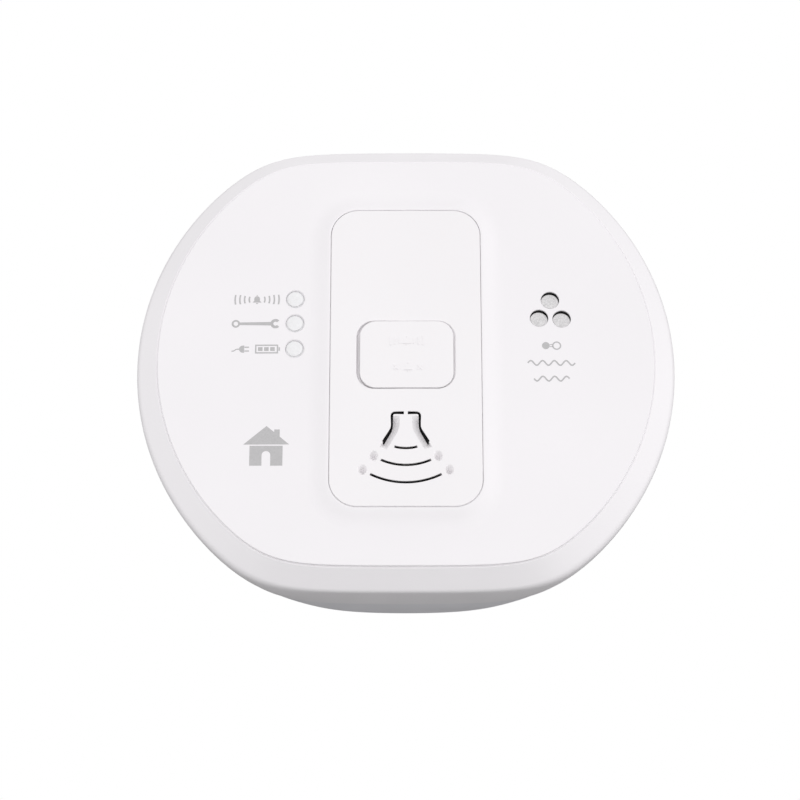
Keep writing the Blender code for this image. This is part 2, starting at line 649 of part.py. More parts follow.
WHITE = material("white_plastic", (0.87, 0.87, 0.88), 0.42)
WHITE_PANEL = material("white_panel_plastic", (0.88, 0.88, 0.89), 0.4)
WHITE_BACK = material("white_back_plastic", (0.84, 0.84, 0.86), 0.45)
LENS = material("diffusing_lens", (0.9, 0.9, 0.9), 0.3)
BLACK = material("black_plastic", (0.02, 0.02, 0.022), 0.5)
BOARD = material("board_laminate", (0.03, 0.16, 0.07), 0.4)
SCREW_STEEL = material("zinc_steel", (0.62, 0.62, 0.64), 0.35, 1.0)
LED_FINISHES = {
    "alarm": material("red_led", (0.75, 0.08, 0.06), 0.25),
    "fault": material("amber_led", (0.85, 0.5, 0.06), 0.25),
    "power": material("green_led", (0.1, 0.6, 0.15), 0.25),
}
FINISHES = {
    "resin": material("grey_resin", (0.3, 0.31, 0.33), 0.5),
    "brass": material("brass", (0.8, 0.62, 0.28), 0.3, 1.0),
    "ceramic": material("ceramic", (0.82, 0.8, 0.74), 0.45),
    "foam": material("foam", (0.06, 0.06, 0.065), 0.9),
    "steel": material("sensor_steel", (0.66, 0.66, 0.68), 0.3, 1.0),
    "membrane": material("white_membrane", (0.8, 0.8, 0.8), 0.8),
    "nickel": material("nickel", (0.7, 0.68, 0.63), 0.3, 1.0),
    "cell": material("cell_sleeve", (0.12, 0.25, 0.45), 0.35),
    "ferrite": material("ferrite", (0.05, 0.05, 0.05), 0.6),
    "copper": material("copper", (0.75, 0.35, 0.18), 0.35, 1.0),
    "can": material("capacitor_sleeve", (0.03, 0.03, 0.05), 0.35),
    "chip": material("chip_resin", (0.02, 0.02, 0.02), 0.55),
}

make_mounting_plate(WHITE_BACK)
make_rear_shell(WHITE_BACK, ALARM)
make_front_cover(WHITE, ALARM)
make_centre_panel(WHITE_PANEL, ALARM)
test_button = make_test_button(WHITE_PANEL, BUTTON_SLIDE)
test_button.location = [value * MM for value in (*BUTTON_CENTRE, 0.0)]
make_switch(BLACK, WHITE, ALARM, PLUNGER_SLIDE)
make_circuit_board(BOARD, ALARM)
make_board_screws(SCREW_STEEL, ALARM)
make_indicators(LENS, LED_FINISHES, ALARM)
make_sounder(FINISHES, ALARM)
make_gas_sensor(FINISHES, ALARM)
make_battery(FINISHES, ALARM)
make_power_switch(BLACK, WHITE, ALARM, KNOB_SLIDE)
make_board_components(FINISHES, ALARM)
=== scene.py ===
"""The looks of a carbon monoxide alarm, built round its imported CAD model.

Pieces are modelled in millimetres, lying on their back as on a bench: x is to the right, y is up the wall
and z is the distance out from the wall. stand_up turns them upright, into the frame's metres.
"""

import json
import math

import bmesh
import bpy
import numpy as np
from mathutils import Matrix, Vector


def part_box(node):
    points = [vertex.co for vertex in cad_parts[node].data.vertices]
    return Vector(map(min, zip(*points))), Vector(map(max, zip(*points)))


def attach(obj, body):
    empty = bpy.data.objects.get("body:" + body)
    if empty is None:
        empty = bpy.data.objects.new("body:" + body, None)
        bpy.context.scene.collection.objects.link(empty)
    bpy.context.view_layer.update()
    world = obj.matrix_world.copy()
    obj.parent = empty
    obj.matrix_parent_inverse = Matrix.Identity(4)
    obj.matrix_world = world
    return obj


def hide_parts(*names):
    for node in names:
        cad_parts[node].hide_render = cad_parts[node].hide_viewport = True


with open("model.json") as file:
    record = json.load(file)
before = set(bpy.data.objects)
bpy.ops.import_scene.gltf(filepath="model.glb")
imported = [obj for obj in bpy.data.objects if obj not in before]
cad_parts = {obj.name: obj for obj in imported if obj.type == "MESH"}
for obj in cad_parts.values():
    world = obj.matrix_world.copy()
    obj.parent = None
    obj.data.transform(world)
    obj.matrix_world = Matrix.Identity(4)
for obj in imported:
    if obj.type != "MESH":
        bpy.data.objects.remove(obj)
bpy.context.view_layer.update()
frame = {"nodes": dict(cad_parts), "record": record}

MM = 0.001
STAND_UP = Matrix.Rotation(math.pi / 2, 4, "X") @ Matrix.Scale(MM, 4)
SHARP_ANGLE = math.radians(32.0)
SLOT_OF = {row["node"]: row["material_slot"] for row in frame["record"]["subparts"]}


def span(node):
    """Lowest and highest corner of a CAD node, in millimetres, lying on its back."""
    low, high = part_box(node)
    return np.array((low.x, low.z, -high.y)) / MM, np.array((high.x, high.z, -low.y)) / MM


def middle(node):
    low, high = span(node)
    return (low + high) / 2


# Sizes that the frame gives
RIM_RADIUS, COVER_FRONT = span("front_cover")[1][0], span("front_cover")[1][2]
PARTING_DEPTH = span("front_cover")[0][2]
SHELL_BACK, SHELL_FRONT = span("rear_shell")[0][2], span("rear_shell")[1][2]
PANEL_DEPTH = span("centre_panel")[1][2]
BUTTON_DEPTH = span("test_button")[1][2]
BUTTON_CENTRE = middle("test_button")
SENSOR_CENTRE = middle("dust_screen")
PLATE_RADIUS = span("mounting_plate")[1][0]
PLATE_THICKNESS = SHELL_BACK - 0.3
PIPES = [node for node in frame["nodes"] if node.endswith("_light_pipe")]

# Front cover, millimetres; the half heights are those of the flat cuts, before the corners are blended
RIM_HALF_HEIGHT = 52.5
RIM_DEPTH = 36.2
FACE_DEPTH = 42.0
FACE_RISE = 0.35
FACE_RADIUS = 54.75
FACE_HALF_HEIGHT = 47.75
WALL = 2.0
CORNER_SHARPNESS = 24.0
PIPE_RADIUS = 1.72
PIPE_HOLE_RADIUS = 2.0
VENTS = ((0.0, 2.9), (-2.5, -1.4), (2.5, -1.6))
VENT_RADIUS = 2.05
VENT_SKIN = 0.5

# The vents' screen, and its bosses: each is cut back by a second circle, which leaves a dark crescent where
# the black pad behind shows as painted shade
SCREEN_RADIUS = 8.0
PAD_HOLE_RADIUS = 2.03
SCREEN_FRONT = span("vent_pad")[0][2] - 0.3
BOSS_RADIUS = 1.99
BOSS_CUT_SHIFT = 0.52
BOSS_CUT_HEADING = math.radians(260.0)
BOSS_SLOPE = np.array((0.05, 0.1))
BOSS_DROP = 0.3

# Centre panel (half width, half height, corner radius), what its rings add to it, and its plinth
PANEL = np.array((16.5, 34.8, 6.0))
PANEL_FLANGE = 1.8
PANEL_GROW = 0.1
PANEL_SKIN = 2.0
WINDOW_GAP = 0.24
PLINTH_LAND = 0.8
PLINTH_SLOPE = 3.0

# Test button (half width, half height, corner radius) and the flange that keeps it behind the panel
BUTTON = np.array((10.3, 7.85, 3.6))
BUTTON_FLANGE = (11.4, 9.0, 4.5)
BUTTON_CLEARANCE = 0.04
BUTTON_CROWN = 0.2
BUTTON_SINK = 0.3
MARK_RELIEF = 0.12
STEM_RADIUS = 2.0
STEM_BACK = 31.0

# The ledge and sloping lip round the button: what they add to the opening, their shift to the left, and
# how deep the ledge lies all round, at both sides as well, and at the left as well
LEDGE_WIDTH = np.array((0.3, 0.02, 0.1))
LIP_WIDTH = np.array((0.62, 0.14, 0.35))
LIP_SHIFT = -0.16
LIP_DROP = (0.22, 0.35, 0.75)

# Sounder arcs in the centre panel: each one's radius, half width, and how far out its end hollows lie
SLOT_CENTRE = (0.0, -12.6)
SLOT_WIDTH = 0.58
ARCS = ((9.1, 2.5, None), (12.95, 5.45, 7.0), (16.9, 7.75, 9.4))
DIMPLE = (1.15, 1.4)
DIMPLE_DEPTH = 1.8

# The bell's outline as x, y and width: thick across its top, thin down its neck
BELL_LINE = ((-0.42, -13.55, 0.74), (-3.05, -13.55, 0.6), (-3.05, -16.9, 0.36), (-5.0, -20.25, 0.56))
BELL_UNDERCUT = ((-0.42, -13.1, 1.1), (-3.5, -13.1, 1.1), (-3.5, -16.78, 1.1), (-5.35, -19.9, 1.1))
FLANK_TOP = (BELL_LINE[1][0], -14.3)
FLANK_WIDTH = 1.6
FLANK_STEP = 0.75
FLANK_FALL = 1.1

# Mounting plate and its bayonet with the rear shell; angles in degrees
HOOK_ANGLES = (0.0, 90.0, 180.0, 270.0)
HOOK_RADIUS = 31.0
HOOK_HALF_ANGLE = 5.0
RELEASE_TURN = 15.0
KEYHOLES = ((-22.0, 2.0), (22.0, 2.0))
KEYHOLE_ENTRY = 4.2
POCKETS = 24
RIB_HALF_ANGLE = 1.3


# ---------------------------------------------------------------- outlines and rings


def rounded_reach(size, angles):
    """Distance from the middle of a rounded rectangle to its edge, along each angle."""
    half_width, half_height, corner = size
    across, up = np.abs(np.cos(angles)), np.abs(np.sin(angles))
    side, top = half_width / np.maximum(across, 1e-9), half_height / np.maximum(up, 1e-9)
    centre_x, centre_y = half_width - corner, half_height - corner
    along = across * centre_x + up * centre_y
    inside = along**2 - centre_x**2 - centre_y**2 + corner**2
    arc = along + np.sqrt(np.maximum(inside, 0.0))
    return np.where(side * up <= centre_y, side, np.where(top * across <= centre_x, top, arc))


def flat_sided_reach(radius, half_height, angles):
    """The same for a circle cut flat above and below, with softly blended corners."""
    flat = np.abs(np.sin(angles)) / half_height
    power = CORNER_SHARPNESS
    return ((1 / radius) ** power + flat**power) ** (-1 / power)


def around(steps, first=None, last=None, fine=0.5):
    """Even angles all round, closer together between two angles of every quarter, in degrees."""
    even = set(np.round(np.linspace(0.0, 360.0, steps, endpoint=False), 3))
    if first is not None:
        for turn in np.arange(first, last + fine, fine):
            even.update(np.round((turn, 180.0 - turn, 180.0 + turn, 360.0 - turn), 3))
    ordered = sorted(even)
    kept = [ordered[0]]
    for turn in ordered[1:]:
        if turn - kept[-1] > 0.2:
            kept.append(turn)
    return np.radians(kept)


def ring(depth, reach, angles, centre=(0.0, 0.0)):
    """Points round a centre, one along each angle, at one depth or at a depth each."""
    x, y = centre[0] + reach * np.cos(angles), centre[1] + reach * np.sin(angles)
    return np.column_stack((x, y, np.broadcast_to(depth, x.shape)))


def flat_sided(depth, radius, half_height, angles):
    return ring(depth, flat_sided_reach(radius, half_height, angles), angles)


def rounded(depth, size, angles, grow=0.0, centre=(0.0, 0.0)):
    return ring(depth, rounded_reach(np.asarray(size) + grow, angles), angles, centre)


def flat_sided_stations(profile, angles):
    """Stations for soften, from rows of depth, radius, half height and rounding."""
    return [(flat_sided(depth, radius, height, angles), soft) for depth, radius, height, soft in profile]


def panel_stations(profile, angles):
    """Stations for soften, from rows of depth, what the ring adds to the panel's size, and rounding."""
    return [(rounded(depth, PANEL, angles, grow), soft) for depth, grow, soft in profile]


def limited(step, reach):
    """A step shortened to a reach, and to just under half its own length."""
    length = np.maximum(np.linalg.norm(step, axis=1, keepdims=True), 1e-9)
    return step * np.minimum(reach / length, 0.49)


def soften(stations, steps=6, looped=False):
    """Rings along a profile with rounded corners: each station is a ring and its rounding's reach."""
    rings = []
    for i, (points, reach) in enumerate(stations):
        if reach == 0.0 or (not looped and i in (0, len(stations) - 1)):
            rings.append(points)
            continue
        before, after = stations[i - 1][0], stations[(i + 1) % len(stations)][0]
        start = points + limited(before - points, reach)
        end = points + limited(after - points, reach)
        for t in np.linspace(0.0, 1.0, steps + 1):
            rings.append((1 - t) ** 2 * start + 2 * t * (1 - t) * points + t**2 * end)
    return rings


def face_depth(x, y):
    """The gently domed front of the cover."""
    return FACE_DEPTH + FACE_RISE * (1.0 - (x**2 + y**2) / FACE_RADIUS**2)


def on_face(points):
    points = points.copy()
    points[:, 2] = face_depth(points[:, 0], points[:, 1])
    return points


def arc_points(centre, radius, first, last, steps=12):
    turns = np.radians(np.linspace(first, last, steps + 1))
    return [(centre[0] + radius * math.cos(t), centre[1] + radius * math.sin(t)) for t in turns]


def band(centre, radius, width, first, last, steps=24):
    """Outline of a part of a ring, between two angles in degrees."""
    outer = arc_points(centre, radius + width / 2, first, last, steps)
    inner = arc_points(centre, radius - width / 2, first, last, steps)
    return outer + inner[::-1]


def stroke(line, width=None):
    """Outline of a line with mitred corners, of one width or of the width that each point carries."""
    half = [(point[2] if width is None else width) / 2 for point in line]
    line = [np.array(point[:2], float) for point in line]
    normals = []
    for start, end in zip(line, line[1:]):
        along = (end - start) / np.linalg.norm(end - start)
        normals.append(np.array((-along[1], along[0])))
    left, right = [], []
    for i, point in enumerate(line):
        before, after = normals[max(i - 1, 0)], normals[min(i, len(normals) - 1)]
        mitre = (before + after) / (1.0 + before @ after)
        left.append(tuple(point + mitre * half[i]))
        right.append(tuple(point - mitre * half[i]))
    return left + right[::-1]


def smooth_line(line, reach, steps=6):
    """A line whose inner corners are rounded."""
    line = [np.array(point, float) for point in line]
    smooth = [line[0]]
    for before, corner, after in zip(line, line[1:], line[2:]):
        start = corner + (before - corner) * min(reach / np.linalg.norm(before - corner), 0.49)
        end = corner + (after - corner) * min(reach / np.linalg.norm(after - corner), 0.49)
        for t in np.linspace(0.0, 1.0, steps + 1):
            smooth.append((1 - t) ** 2 * start + 2 * t * (1 - t) * corner + t**2 * end)
    return smooth + [line[-1]]


# ---------------------------------------------------------------- meshes


def new_object(name, mesh):
    obj = bpy.data.objects.new(name, mesh)
    bpy.context.scene.collection.objects.link(obj)
    return obj


def mesh_from(name, points, faces):
    mesh = bpy.data.meshes.new(name)
    mesh.from_pydata([tuple(point) for point in points], [], faces)
    bm = bmesh.new()
    bm.from_mesh(mesh)
    bmesh.ops.remove_doubles(bm, verts=bm.verts, dist=1e-5)
    bmesh.ops.recalc_face_normals(bm, faces=bm.faces)
    bm.to_mesh(mesh)
    bm.free()
    return mesh


def loft(name, rings, looped=False):
    """Skin between rings of equally many points, capped at both ends or joined from last to first."""
    count, layers = len(rings[0]), len(rings)
    pairs = [(k, (k + 1) % layers) for k in range(layers if looped else layers - 1)]
    faces = []
    for low, high in pairs:
        for i in range(count):
            j = (i + 1) % count
            faces.append((low * count + i, low * count + j, high * count + j, high * count + i))
    if not looped:
        faces.append(tuple(range(count))[::-1])
        faces.append(tuple(range((layers - 1) * count, layers * count)))
    return new_object(name, mesh_from(name, np.concatenate(rings), faces))


def prism(name, outline, low, high):
    """A flat outline given thickness; low and high are depths, or functions of a point."""
    count = len(outline)
    bottom = [(x, y, low(x, y) if callable(low) else low) for x, y in outline]
    top = [(x, y, high(x, y) if callable(high) else high) for x, y in outline]
    faces = [tuple(range(count))[::-1], tuple(range(count, 2 * count))]
    for i in range(count):
        j = (i + 1) % count
        faces.append((i, j, count + j, count + i))
    return new_object(name, mesh_from(name, bottom + top, faces))


def turned(name, profile, centre=(0.0, 0.0), steps=64, looped=False, soft=0.0):
    """A profile of (radius, depth) points turned round a centre; soft is its corners' rounding."""
    angles = np.radians(np.linspace(0.0, 360.0, steps, endpoint=False))
    rings = [ring(depth, np.full(steps, max(radius, 1e-6)), angles, centre) for radius, depth in profile]
    if soft:
        rings = soften([(points, soft) for points in rings], 4, looped)
    return loft(name, rings, looped)


def applied(obj):
    """The object with its modifiers made into its mesh."""
    bpy.context.view_layer.update()
    graph = bpy.context.evaluated_depsgraph_get()
    mesh = bpy.data.meshes.new_from_object(obj.evaluated_get(graph))
    obj.modifiers.clear()
    obj.data = mesh
    return obj


def carve(obj, tools, operation="DIFFERENCE"):
    """Cuts every tool away, or joins it on, and removes the tools."""
    for tool in tools:
        modifier = obj.modifiers.new(tool.name, "BOOLEAN")
        modifier.operation = operation
        modifier.solver = "EXACT"
        modifier.object = tool
    applied(obj)
    for tool in tools:
        bpy.data.objects.remove(tool, do_unlink=True)
    return obj


def joined(name, parts):
    """Several separate shapes as one object."""
    bm = bmesh.new()
    for part in parts:
        bm.from_mesh(part.data)
        bpy.data.objects.remove(part, do_unlink=True)
    mesh = bpy.data.meshes.new(name)
    bm.to_mesh(mesh)
    bm.free()
    return new_object(name, mesh)


def stand_up(obj, finish, body, stands_for=None):
    """Turns a finished shape upright, gives it its material and lets it ride on its body."""
    mesh = obj.data
    mesh.transform(STAND_UP)
    mesh.materials.clear()
    mesh.materials.append(finish)
    mesh.shade_smooth()
    mesh.set_sharp_from_angle(angle=SHARP_ANGLE)
    weights = obj.modifiers.new("weighted normals", "WEIGHTED_NORMAL")
    weights.keep_sharp = True
    weights.weight = 50
    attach(obj, body)
    if stands_for:
        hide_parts(*stands_for)


# ---------------------------------------------------------------- materials


class Finish:
    """A Principled material with short ways to add procedural detail, in object coordinates."""

    def __init__(self, name, colour, roughness, metallic=0.0):
        self.material = bpy.data.materials.new(name)
        self.material.use_nodes = True
        self.tree = self.material.node_tree
        self.shader = self.tree.nodes["Principled BSDF"]
        self.colour, self.roughness = colour, roughness
        self.set("Metallic", metallic)
        self.set("Roughness", roughness)
        self.set("Base Color", (*colour, 1.0))
        self.place = self.node("ShaderNodeTexCoord").outputs["Object"]
        self.height = None

    def set(self, socket, value):
        self.shader.inputs[socket].default_value = value

    def node(self, kind, **values):
        made = self.tree.nodes.new(kind)
        for key, value in values.items():
            if hasattr(made, key):
                setattr(made, key, value)
            else:
                made.inputs[key.replace("_", " ").title()].default_value = value
        return made

    def link(self, start, end):
        self.tree.links.new(start, end)

    def noise(self, size_mm, detail=2.0, stretch=(1.0, 1.0, 1.0)):
        """Noise whose grains are about so many millimetres across."""
        mapping = self.node("ShaderNodeMapping")
        mapping.inputs["Scale"].default_value = [value / (size_mm * MM) for value in stretch]
        self.link(self.place, mapping.inputs["Vector"])
        texture = self.node("ShaderNodeTexNoise", scale=1.0, detail=detail, roughness=0.55)
        self.link(mapping.outputs["Vector"], texture.inputs["Vector"])
        return texture.outputs["Fac"]

    def ranged(self, factor, low, high, start=0.3, end=0.7):
        mapped = self.node("ShaderNodeMapRange")
        for socket, value in (("From Min", start), ("From Max", end), ("To Min", low), ("To Max", high)):
            mapped.inputs[socket].default_value = value
        self.link(factor, mapped.inputs["Value"])
        return mapped.outputs["Result"]

    def tint(self, factor, other, amount=1.0):
        """Mixes the colour so far with another one where the factor is high."""
        mix = self.node("ShaderNodeMix", data_type="RGBA")
        base = self.shader.inputs["Base Color"]
        if base.is_linked:
            self.link(base.links[0].from_socket, mix.inputs[6])
        else:
            mix.inputs[6].default_value = (*self.colour, 1.0)
        mix.inputs[7].default_value = (*other, 1.0)
        self.link(self.ranged(factor, 0.0, amount), mix.inputs[0])
        self.link(mix.outputs[2], base)

    def rough(self, factor, spread):
        value = self.ranged(factor, self.roughness - spread, self.roughness + spread)
        self.link(value, self.shader.inputs["Roughness"])

    def bump(self, factor, height_mm, strength=1.0):
        made = self.node("ShaderNodeBump")
        made.inputs["Strength"].default_value = strength
        made.inputs["Distance"].default_value = height_mm * MM
        self.link(factor, made.inputs["Height"])
        if self.height is not None:
            self.link(self.height, made.inputs["Normal"])
        self.height = made.outputs["Normal"]
        self.link(self.height, self.shader.inputs["Normal"])


def moulded(name, colour, roughness, grain=0.35, relief=0.012):
    """Spark-eroded plastic: a fine even grain, slow flow marks and faint handling marks in its gloss."""
    finish = Finish(name, colour, roughness)
    finish.tint(finish.noise(38.0, 3.0), [value * 0.972 for value in colour])
    finish.tint(finish.noise(0.9, 2.0), [value * 0.985 for value in colour], 0.5)
    finish.rough(finish.noise(7.0, 4.0), 0.06)
    finish.bump(finish.noise(grain, 2.0), relief, 0.6)
    finish.bump(finish.noise(grain * 5.0, 2.0), relief, 0.3)
    return finish


def ink(name, colour):
    """Pad-printed ink: a slightly uneven cover with a fine grain."""
    finish = Finish(name, colour, 0.48)
    finish.tint(finish.noise(0.35, 3.0), [value * 1.12 for value in colour])
    finish.rough(finish.noise(0.5, 2.0), 0.08)
    finish.bump(finish.noise(0.12, 2.0), 0.006, 0.5)
    return finish


def lens(name, colour, roughness=0.28):
    """Milky acrylic with a thin gloss coat."""
    finish = Finish(name, colour, roughness)
    finish.set("Coat Weight", 0.15)
    finish.tint(finish.noise(0.8, 3.0), [value * 0.93 for value in colour])
    finish.rough(finish.noise(0.4, 2.0), 0.05)
    finish.bump(finish.noise(0.6, 2.0), 0.01, 0.3)
    return finish


def metal(name, colour, roughness, stretch=(1.0, 12.0, 1.0)):
    """Drawn or rolled metal with fine streaks."""
    finish = Finish(name, colour, roughness, 1.0)
    finish.tint(finish.noise(0.5, 4.0, stretch), [value * 0.8 for value in colour])
    finish.rough(finish.noise(0.3, 3.0, stretch), 0.09)
    finish.bump(finish.noise(0.15, 2.0, stretch), 0.004, 0.5)
    return finish


def porous(name, colour, roughness, pore=0.3, depth=0.08):
    """Foam, felt or filter cloth: open pores, with darker patches painted on as the shade in their bottoms.
    """
    finish = Finish(name, colour, roughness)
    # Painted shade: darker patches for the shade in the pores' bottoms
    finish.tint(finish.noise(pore * 1.3, 3.0), [value * 0.7 for value in colour])
    finish.rough(finish.noise(pore * 3.0), 0.05)
    finish.bump(finish.noise(pore, 4.0), depth, 0.8)
    return finish


def board(name, colour):
    """Green solder mask over copper traces, with a slight relief along them."""
    finish = Finish(name, colour, 0.34)
    mapping = finish.node("ShaderNodeMapping")
    mapping.inputs["Rotation"].default_value = (math.pi / 2, 0.0, 0.0)
    mapping.inputs["Scale"].default_value = [1.0 / (9.0 * MM)] * 3
    finish.link(finish.place, mapping.inputs["Vector"])
    bricks = finish.node("ShaderNodeTexBrick", offset=0.37, squash=0.7)
    bricks.inputs["Scale"].default_value = 1.0
    bricks.inputs["Mortar Size"].default_value = 0.018
    finish.link(mapping.outputs["Vector"], bricks.inputs["Vector"])
    traces = bricks.outputs["Fac"]
    finish.tint(traces, [value * 1.8 for value in colour])
    finish.tint(finish.noise(12.0, 2.0), [value * 0.8 for value in colour], 0.6)
    finish.rough(finish.noise(2.0), 0.06)
    finish.bump(traces, 0.03, 0.6)
    return finish


def wound(name, colour):
    """Enamelled copper laid in turns."""
    finish = Finish(name, colour, 0.3, 1.0)
    mapping = finish.node("ShaderNodeMapping")
    mapping.inputs["Scale"].default_value = (0.0, 1.0 / (0.3 * MM), 0.0)
    finish.link(finish.place, mapping.inputs["Vector"])
    wave = finish.node("ShaderNodeTexWave", bands_direction="Y")
    wave.inputs["Scale"].default_value = 0.314
    finish.link(mapping.outputs["Vector"], wave.inputs["Vector"])
    finish.tint(wave.outputs["Fac"], [value * 0.45 for value in colour])
    finish.rough(finish.noise(0.5), 0.06)
    finish.bump(wave.outputs["Fac"], 0.08, 0.8)
    return finish


def make_finishes():
    """One material for each material slot of the record."""
    colours = {row["slot"]: tuple(row["base_color"]) for row in frame["record"]["materials"]}
    made = {
        # back_plastic is the alarm's white made darker and bluer: painted shade, for the bluish shade under
        # the alarm
        "back_plastic": moulded("back_plastic", (0.835, 0.832, 0.866), 0.46),
        "cover_plastic": moulded("cover_plastic", (0.88, 0.862, 0.88), 0.42),
        "panel_plastic": moulded("panel_plastic", (0.885, 0.868, 0.881), 0.4, 0.3, 0.01),
        "print_ink": ink("print_ink", (0.46, 0.455, 0.46)),
        "light_pipe": lens("light_pipe", (0.86, 0.86, 0.87)),
        "board_laminate": board("board_laminate", colours["board_laminate"]),
        "screw_steel": metal("screw_steel", colours["screw_steel"], 0.34),
        "red_lens": lens("red_lens", colours["red_lens"], 0.15),
        "amber_lens": lens("amber_lens", colours["amber_lens"], 0.15),
        "green_lens": lens("green_lens", colours["green_lens"], 0.15),
        "black_plastic": moulded("black_plastic", colours["black_plastic"], 0.5),
        "switch_plastic": moulded("switch_plastic", colours["switch_plastic"], 0.42),
        "grey_resin": moulded("grey_resin", (0.07, 0.07, 0.075), 0.5),
        "brass_sheet": metal("brass_sheet", colours["brass_sheet"], 0.28),
        "piezo_ceramic": moulded("piezo_ceramic", colours["piezo_ceramic"], 0.4, 0.2),
        "black_foam": porous("black_foam", (0.02, 0.02, 0.021), 0.92, 0.5, 0.15),
        "sensor_steel": metal("sensor_steel", colours["sensor_steel"], 0.3),
        "white_membrane": porous("white_membrane", (0.77, 0.76, 0.765), 0.85, 0.25, 0.04),
        "nickel_strip": metal("nickel_strip", colours["nickel_strip"], 0.22),
        "cell_sleeve": moulded("cell_sleeve", colours["cell_sleeve"], 0.3, 0.6, 0.006),
        "ferrite": porous("ferrite", colours["ferrite"], 0.6, 0.2, 0.02),
        "copper_wire": wound("copper_wire", colours["copper_wire"]),
        "capacitor_sleeve": moulded("capacitor_sleeve", colours["capacitor_sleeve"], 0.3, 0.6, 0.006),
        "chip_resin": moulded("chip_resin", colours["chip_resin"], 0.55, 0.15),
    }
    return {slot: finish.material for slot, finish in made.items()}


# ---------------------------------------------------------------- outer pieces


def make_front_cover():
    """A bevelled dish whose domed face rises in a soft plinth round the window of the centre panel."""
    angles = around(300, 54.0, 78.0)
    ledge = PANEL_DEPTH - PANEL_SKIN - 0.4
    outside = (
        (PARTING_DEPTH, 56.4, 50.3, 0.2),
        (PARTING_DEPTH, 58.4, 52.3, 0.4),
        (31.5, 59.6, 52.45, 3.0),
        (RIM_DEPTH, RIM_RADIUS, RIM_HALF_HEIGHT, 1.2),
        (37.6, RIM_RADIUS - 0.6, RIM_HALF_HEIGHT - 0.05, 0.7),
        (41.55, FACE_RADIUS + 0.4, FACE_HALF_HEIGHT + 0.4, 0.12),
        (41.4, FACE_RADIUS + 0.08, FACE_HALF_HEIGHT + 0.08, 0.08),
        (FACE_DEPTH, FACE_RADIUS, FACE_HALF_HEIGHT, 0.15),
    )
    window = (
        (COVER_FRONT, PLINTH_LAND, 1.1),
        (COVER_FRONT, WINDOW_GAP, 0.22),
        (ledge, WINDOW_GAP, 0.0),
        (ledge, 2.4, 0.0),
        (ledge - 1.1, 2.6, 0.0),
    )
    inside = (
        (FACE_DEPTH - WALL - 0.1, 53.5, 46.5, 0.6),
        (36.7, RIM_RADIUS - WALL, RIM_HALF_HEIGHT - WALL, 1.0),
        (33.2, 57.7, 50.4, 1.0),
    )
    foot_grow = PLINTH_LAND + PLINTH_SLOPE
    face_edge = on_face(flat_sided(0.0, FACE_RADIUS - 0.35, FACE_HALF_HEIGHT - 0.35, angles))
    face_inner = on_face(rounded(0.0, PANEL, angles, foot_grow + 3.0))
    face = [(face_edge, 0.25)]
    for t in np.linspace(0.0, 1.0, 12)[1:]:
        face.append((on_face((1 - t) * face_edge + t * face_inner), 0.0))
    foot = (on_face(rounded(0.0, PANEL, angles, foot_grow)), 1.9)
    stations = flat_sided_stations(outside, angles) + face + [foot]
    stations += panel_stations(window, angles) + flat_sided_stations(inside, angles)
    cover = loft("cover_skin", soften(stations, looped=True), looped=True)
    tools = []
    for node in PIPES:
        tools.append(hole_tool(middle(node)[:2], PIPE_HOLE_RADIUS, 0.3))
    low, high = FACE_DEPTH - 5.0, face_depth(*SENSOR_CENTRE[:2]) - VENT_SKIN
    radius = SCREEN_RADIUS + 0.4
    tools.append(turned("recess", ((0.0, low), (radius, low), (radius, high), (0.0, high)), SENSOR_CENTRE))
    for x, y in VENTS:
        tools.append(hole_tool(SENSOR_CENTRE[:2] + (x, y), VENT_RADIUS, 0.07))
    return carve(cover, tools)


def hole_tool(centre, radius, chamfer):
    """A round hole through the face, broken at its edge."""
    surface = face_depth(*centre[:2])
    profile = (
        (0.0, surface - 5.0),
        (radius, surface - 5.0),
        (radius, surface - chamfer),
        (radius + chamfer * 0.35, surface - chamfer * 0.4),
        (radius + chamfer * 1.4, surface + chamfer * 0.4),
        (radius + chamfer * 1.4, surface + 2.0),
        (0.0, surface + 2.0),
    )
    return turned("hole", profile, centre, steps=72)


def make_centre_panel():
    """The raised panel: the button's opening, two slots in a bell's outline and three sound arcs."""
    angles = around(180, 54.0, 78.0, 1.0)
    back = PANEL_DEPTH - PANEL_SKIN - 2.0
    flange = back + 1.3
    profile = (
        (back, PANEL_FLANGE, 0.0),
        (flange, PANEL_FLANGE, 0.15),
        (flange, WINDOW_GAP - 0.03, 0.1),
        (PANEL_DEPTH - 0.42, WINDOW_GAP - 0.03, 0.0),
        (PANEL_DEPTH - 0.38, PANEL_GROW, 0.0),
        (PANEL_DEPTH, PANEL_GROW, 0.24),
        (PANEL_DEPTH, -1.5, 0.0),
    )
    panel = loft("panel_skin", soften(panel_stations(profile, angles)))
    low, high = back - 1.5, PANEL_DEPTH + 1.0
    depths = (back - 1.0, PANEL_DEPTH - PANEL_SKIN)
    pocket = [rounded(depth, PANEL, around(120), -1.2) for depth in depths]
    tools = [loft("pocket", pocket), button_opening(low, high)]
    for radius, half_width, hollow in ARCS:
        spread = math.degrees(math.asin(half_width / radius))
        slot = band(SLOT_CENTRE, radius, SLOT_WIDTH, 270.0 - spread, 270.0 + spread, 31)
        tools.append(prism("arc", slot, low, high))
        inset = spread - 0.4
        wider = band(SLOT_CENTRE, radius - 0.45, 1.4, 270.0 - inset, 270.0 + inset, 21)
        tools.append(prism("arc undercut", wider, low - 0.3, PANEL_DEPTH - 0.4))
        if hollow:
            tools += [dimple(radius, -hollow), dimple(radius, hollow)]
    for side in (-1.0, 1.0):
        line = smooth_line([(-side * x, y, width) for x, y, width in BELL_LINE], 0.8)
        tools.append(prism("bell", stroke(line), low, high))
        line = smooth_line([(-side * x, y, width) for x, y, width in BELL_UNDERCUT], 0.9)
        tools.append(prism("bell undercut", stroke(line), low - 0.3, PANEL_DEPTH - 0.4))
        tools.append(bell_slope(side))
    return carve(panel, tools)


